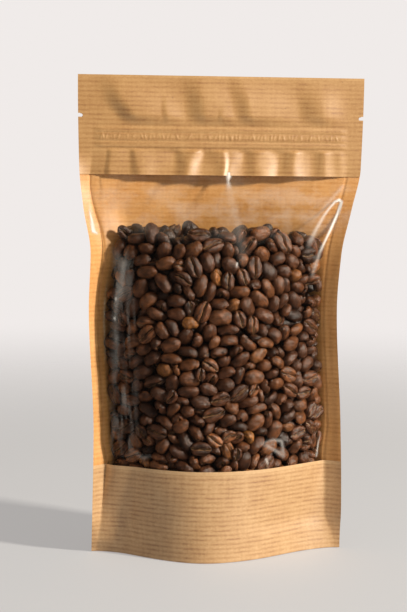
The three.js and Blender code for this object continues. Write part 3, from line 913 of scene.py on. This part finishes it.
def joined_beans(name, chosen):
    """One mesh of many beans. Its form attribute holds each point's share in the centre cut and on
    the flat face, and its bean's roast. Its grain attribute is the point's place on its own bean, and
    painted_depth_shade is 1 for points deep between the beans, where the skin gets painted shade."""
    draw = np.random.default_rng(len(name))
    points, faces, forms, grain = [], [], [], []
    total = 0
    for i in chosen:
        own, triangles, cut, face = bean_bodies[which[i]]
        points.append(own @ places[i, :3, :3].T + places[i, :3, 3])
        faces.append(triangles + total)
        forms.append(np.stack([cut, face, 0 * cut + roasts[i]], 1))
        grain.append(own + draw.uniform(-500, 500, 3))
        total += len(own)
    points = np.concatenate(points)
    mesh = new_mesh(name, points, np.concatenate(faces).tolist())
    # Painted shade: the deeper a point lies behind the film, the darker its skin is painted.
    behind = points[:, 1] - front_face(points[:, 0], points[:, 2]) - PAPER - FILM
    store(mesh, "painted_depth_shade", step(behind, 1, 6.5))
    store(mesh, "form", np.concatenate(forms))
    store(mesh, "grain", np.concatenate(grain))
    mesh.materials.append(bean_skin)
    piece = put(name, mesh)
    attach(piece, "root")


def roasted_bean():
    """Roasted arabica: the bean dries to a satin brown skin with fine wrinkles along it, deeper on the
    flat face, and papery silverskin stays pale along the centre cut. Painted shade darkens the deep cut
    and the beans deep between others, and painted light lifts those just behind the film."""
    m = new_material("roasted_arabica_bean")
    grain = node(m, "Attribute", attribute_name="grain")
    form = node(m, "Attribute", attribute_name="form")
    parts = node(m, "SeparateXYZ", {"Vector": form.outputs["Vector"]})
    cut, face, roast = parts.outputs["X"], parts.outputs["Y"], parts.outputs["Z"]
    roasting = ((0.0, "#2c170b"), (0.45, "#52301c"), (0.75, "#6c4225"), (1.0, "#94602f"))
    stops = [(share, linear(colour)) for share, colour in roasting]
    tone = node(m, "ValToRGB", {"Fac": roast}, stops=stops)
    place = grain.outputs["Vector"]  # in millimetres, like the noise scales
    patches = node(m, "TexNoise", {"Vector": place, "Scale": 0.35, "Detail": 4.0, "Roughness": 0.6})
    along = node(m, "Mapping", {"Vector": place, "Scale": (0.2, 0.85, 0.85)})
    wrinkles = node(m, "TexNoise", {"Vector": along, "Scale": 1.0, "Detail": 5.0, "Roughness": 0.65})
    papery = node(m, "TexNoise", {"Vector": place, "Scale": 0.8, "Detail": 3.0})
    pores = node(m, "TexNoise", {"Vector": place, "Scale": 2.2, "Detail": 4.0, "Roughness": 0.7})

    ranges = {}
    for use, value, low, high, at_low, at_high in (
        ("mottle", patches, 0.32, 0.7, 0.5, 1.6),
        ("streak", wrinkles, 0.38, 0.6, 0.35, 1.9),
        ("streaked", face, 0, 1, 0.35, 1),
        # Painted shade deep between the beans, and painted light on the beans just behind the film.
        ("painted_gap_shade", node(m, "Attribute", attribute_name="painted_depth_shade").outputs["Fac"], 0, 1, 1.12, 0.32),
        ("painted_cut_shade", cut, 0.55, 0.9, 0, 0.9),
        ("papery", papery, 0.42, 0.6, 0, 0.7),
        ("cut edge", cut, 0.12, 0.4, 0, 1),
        ("cut floor", cut, 0.6, 0.85, 1, 0.25),
    ):
        bounds = {"From Min": low, "From Max": high, "To Min": at_low, "To Max": at_high}
        ranges[use] = node(m, "MapRange", {"Value": value, **bounds})
    on_face = node(m, "Mix", {"Factor": ranges["streaked"], "A": 1.0, "B": ranges["streak"]})
    shade = node(m, "Math", {0: ranges["mottle"], 1: on_face}, operation="MULTIPLY")
    shade = node(m, "Math", {0: shade, 1: ranges["painted_gap_shade"]}, operation="MULTIPLY")
    chaff = node(m, "Math", {0: ranges["cut edge"], 1: ranges["papery"]}, operation="MULTIPLY")
    chaff = node(m, "Math", {0: chaff, 1: ranges["cut floor"]}, operation="MULTIPLY")
    skin = {"Factor": 1.0, "A": tone, "B": shade}
    skin = node(m, "Mix", skin, data_type="RGBA", blend_type="MULTIPLY")
    # The deep centre cut is painted near black: painted shade in the recess. The chaff is the
    # silverskin's own pale colour.
    for share, colour in ((ranges["painted_cut_shade"], "#150b07"), (chaff, "#a9825a")):
        layer = {"Factor": share, "A": skin.outputs["Result"], "B": linear(colour)}
        skin = node(m, "Mix", layer, data_type="RGBA")
    relief = node(m, "Math", {0: pores, 1: 0.35, 2: wrinkles}, operation="MULTIPLY_ADD")
    bump = node(m, "Bump", {"Height": relief, "Distance": 0.55 * MM})
    surface = {
        "Base Color": skin.outputs["Result"], "Normal": bump, "Roughness": 0.31,
        "Specular IOR Level": 0.65,
    }
    node(m, "OutputMaterial", {"Surface": node(m, "BsdfPrincipled", surface)})
    return m


bean_skin = roasted_bean()
roast_draw = np.random.default_rng(31)
roasts = np.clip(roast_draw.normal(0.45, 0.18, len(places)), 0, 0.85)
pale = roast_draw.random(len(places)) < 0.007
roasts[pale] = roast_draw.uniform(0.88, 1.0, pale.sum())
order = np.flatnonzero(seen & ~pale)
size_of = np.array([shape[0] for shape in SHAPES])[which]
kinds = {
    "beans_pale": np.flatnonzero(seen & pale),
    "beans_peaberry": order[(which[order] >= WHOLE) & (which[order] < WHOLE + PEABERRIES)],
    "beans_chipped": order[which[order] >= WHOLE + PEABERRIES],
}
whole = order[which[order] < WHOLE]
for name, low, high in (("small", 0, 10.2), ("medium", 10.2, 10.9), ("large", 10.9, 99)):
    kinds["beans_" + name] = whole[(size_of[whole] >= low) & (size_of[whole] < high)]
for name, chosen in kinds.items():
    joined_beans(name, chosen)


# ---- Bean core ----------------------------------------------------------------------------------
# The inside of the heap, which no gap between the outer beans shows. It is painted a darker brown than
# the beans: painted shade for the depth of the heap.

CORE_LOW, CORE_TOP = 30, BEAN_TOP - 16
CORE_SIDES, CORE_FRONT, CORE_BACK = 13, 12.5, 1.5  # room for the loose beans round it


def heap_core():
    turns = np.linspace(0, 2 * math.pi, 65)[:-1]
    rows = []
    for level in np.linspace(0, 1, 25):
        z = CORE_LOW + (CORE_TOP - CORE_LOW) * level
        a, b = left_seal(z) + CORE_SIDES, right_seal(z) - CORE_SIDES
        x = (a + b) / 2 + (b - a) / 2 * np.cos(turns)
        front, back = front_depth(x, z), back_depth(x, z)
        side = np.sin(turns)
        y = np.where(side < 0, np.minimum(-front + CORE_FRONT, 0), np.maximum(back - CORE_BACK, 0))
        y *= np.abs(side) ** 0.4
        bumps = 0.8 * np.sin(x * 0.9 + z * 0.5) * np.sin(z * 0.8 - x * 0.2)
        rows.append(np.stack([x, y + bumps * side, 0 * x + z], 1))
    rings = np.array(rows)
    number, _, quads = tube(rings)
    caps = [number[0][::-1].tolist(), number[-1].tolist()]
    return put("bean_core", new_mesh("bean_core", rings.reshape(-1, 3), quads.tolist() + caps))


core_skin = new_material("bean_core_painted_shade")
core_spots = node(core_skin, "TexNoise", {"Scale": 180.0, "Detail": 3.0})
# Painted shade: near-black browns, darker than any bean, for the shade deep inside the heap.
core_shade_stops = [(0.35, linear("#120a06")), (0.7, linear("#2a1810"))]
core_tone = node(core_skin, "ValToRGB", {"Fac": core_spots}, stops=core_shade_stops)
core_shader = node(core_skin, "BsdfPrincipled", {"Base Color": core_tone, "Roughness": 0.7})
node(core_skin, "OutputMaterial", {"Surface": core_shader})
bean_core = heap_core()
bean_core.data.materials.append(core_skin)
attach(bean_core, "root")
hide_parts("coffee_beans")


# ---- Studio -------------------------------------------------------------------------------------
# A pale floor that fades into a pale surround, a soft lamp high on the right, and weak fill. Dark
# flags round the lamp keep the film clear, so what it mirrors is dimmer than what lights the paper.

floor_mesh = bpy.data.meshes.new("studio_floor")
FLOOR_RADIUS = 1.2
FLOOR_DROP = -0.0003  # just under the paper, so that the two faces don't meet
turns = np.linspace(0, 2 * math.pi, 97)[:-1]
ring = [(FLOOR_RADIUS * math.cos(a), FLOOR_RADIUS * math.sin(a), FLOOR_DROP) for a in turns]
floor_mesh.from_pydata(ring, [], [tuple(range(len(ring)))])
studio_floor = put("studio_floor", floor_mesh)
floor_paint = new_material("pale_matt_floor")
floor_place = node(floor_paint, "TexCoord")
floor_away = node(floor_paint, "VectorMath", {0: floor_place.outputs["Object"]}, operation="LENGTH")
floor_end = {"Value": floor_away.outputs["Value"], "From Min": 0.25, "From Max": 1.1}
floor_end = node(floor_paint, "MapRange", floor_end, interpolation_type="SMOOTHSTEP")
floor_matt = {
    "Base Color": linear("#9b9ea2"), "Roughness": 0.7,
    "Emission Color": linear("#ece9e8"), "Emission Strength": 0.4,
}
floor_shader = node(floor_paint, "BsdfPrincipled", floor_matt)
floor_gone = node(floor_paint, "BsdfTransparent")
floor_mirrored = node(floor_paint, "LightPath").outputs["Is Glossy Ray"]
floor_fade = node(floor_paint, "Math", {0: floor_end, 1: floor_mirrored}, operation="MAXIMUM")
floor_mix = node(floor_paint, "MixShader", {"Fac": floor_fade, 1: floor_shader, 2: floor_gone})
node(floor_paint, "OutputMaterial", {"Surface": floor_mix})
floor_mesh.materials.append(floor_paint)


def lamp(name, azimuth, elevation, distance, size, power, colour):
    """A square soft lamp that looks at the middle of the pouch from a bearing right of the front."""
    data = bpy.data.lights.new(name, "AREA")
    data.shape = "RECTANGLE"
    data.size, data.size_y = size
    data.energy = power
    data.color = linear(colour)[:3]
    aim = Vector((0, 0, 0.11))
    a, e = math.radians(azimuth), math.radians(elevation)
    away = Vector((math.sin(a) * math.cos(e), -math.cos(a) * math.cos(e), math.sin(e)))
    made = put(name, data)
    made.location = aim + away * distance
    made.rotation_mode = "QUATERNION"
    made.rotation_quaternion = away.to_track_quat("Z", "Y")
    made.visible_camera = False
    return made


# A flag keeps the lamp's mirror image off the film, which has its own lamp that it does not mirror.
key_light = dict(azimuth=57, elevation=24, distance=2.2, size=(0.2, 0.2), power=72, colour="#fff5e6")
paper_key = lamp("key_lamp", **key_light)
film_key = lamp("film_lamp", **key_light)
film_key.visible_glossy = False
film_key.visible_transmission = False
film_only = bpy.data.collections.new("film_only")
film_only.objects.link(window_film)
film_key.light_linking.receiver_collection = film_only
all_but_film = bpy.data.collections.new("all_but_film")
all_but_film.objects.link(window_film)
paper_key.light_linking.receiver_collection = all_but_film
all_but_film.collection_objects[0].light_linking.link_state = "EXCLUDE"
left_card = lamp(
    "left_card", azimuth=-88, elevation=8, distance=0.7, size=(0.12, 0.5), power=0.5, colour="#e6f0dc"
)
left_card.light_linking.receiver_collection = film_only

surround = bpy.data.worlds.new("studio_surround")
bpy.context.scene.world = surround
surround.use_nodes = True
surround.node_tree.nodes.clear()
seen_by = node(surround, "LightPath")
flags = {0: seen_by.outputs["Is Glossy Ray"], 1: -0.22, 2: 0.3}
flagged = node(surround, "Math", flags, operation="MULTIPLY_ADD")
glow = node(surround, "Background", {"Color": linear("#fff2e4"), "Strength": flagged})
shown = node(surround, "Background", {"Color": linear("#f0ebe9")})
both = node(surround, "MixShader", {"Fac": seen_by.outputs["Is Camera Ray"], 1: glow, 2: shown})
node(surround, "OutputWorld", {"Surface": both})
bpy.context.scene.view_settings.view_transform = "Standard"


# ---- Camera -------------------------------------------------------------------------------------
# At eye level in front of the pouch and a little to its left, looking slightly down.

CAMERA_DISTANCE = 0.76
CAMERA_HEIGHT = 0.19415
CAMERA_BEARING = math.radians(-5.618)
CAMERA_TURN = math.radians(0.587)
CAMERA_DOWN = math.radians(5.445)
CAMERA_ROLL = math.radians(0.691)
camera_data = bpy.data.cameras.new("camera")
camera_data.lens = 91.04
camera_data.sensor_width = 36
camera = put("camera", camera_data)
camera.matrix_world = (
    Matrix.Translation((
        CAMERA_DISTANCE * math.sin(CAMERA_BEARING),
        -CAMERA_DISTANCE * math.cos(CAMERA_BEARING),
        CAMERA_HEIGHT,
    ))
    @ Matrix.Rotation(CAMERA_BEARING + CAMERA_TURN, 4, "Z")
    @ Matrix.Rotation(math.pi / 2 - CAMERA_DOWN, 4, "X")
    @ Matrix.Rotation(CAMERA_ROLL, 4, "Z")
)
bpy.context.scene.camera = camera
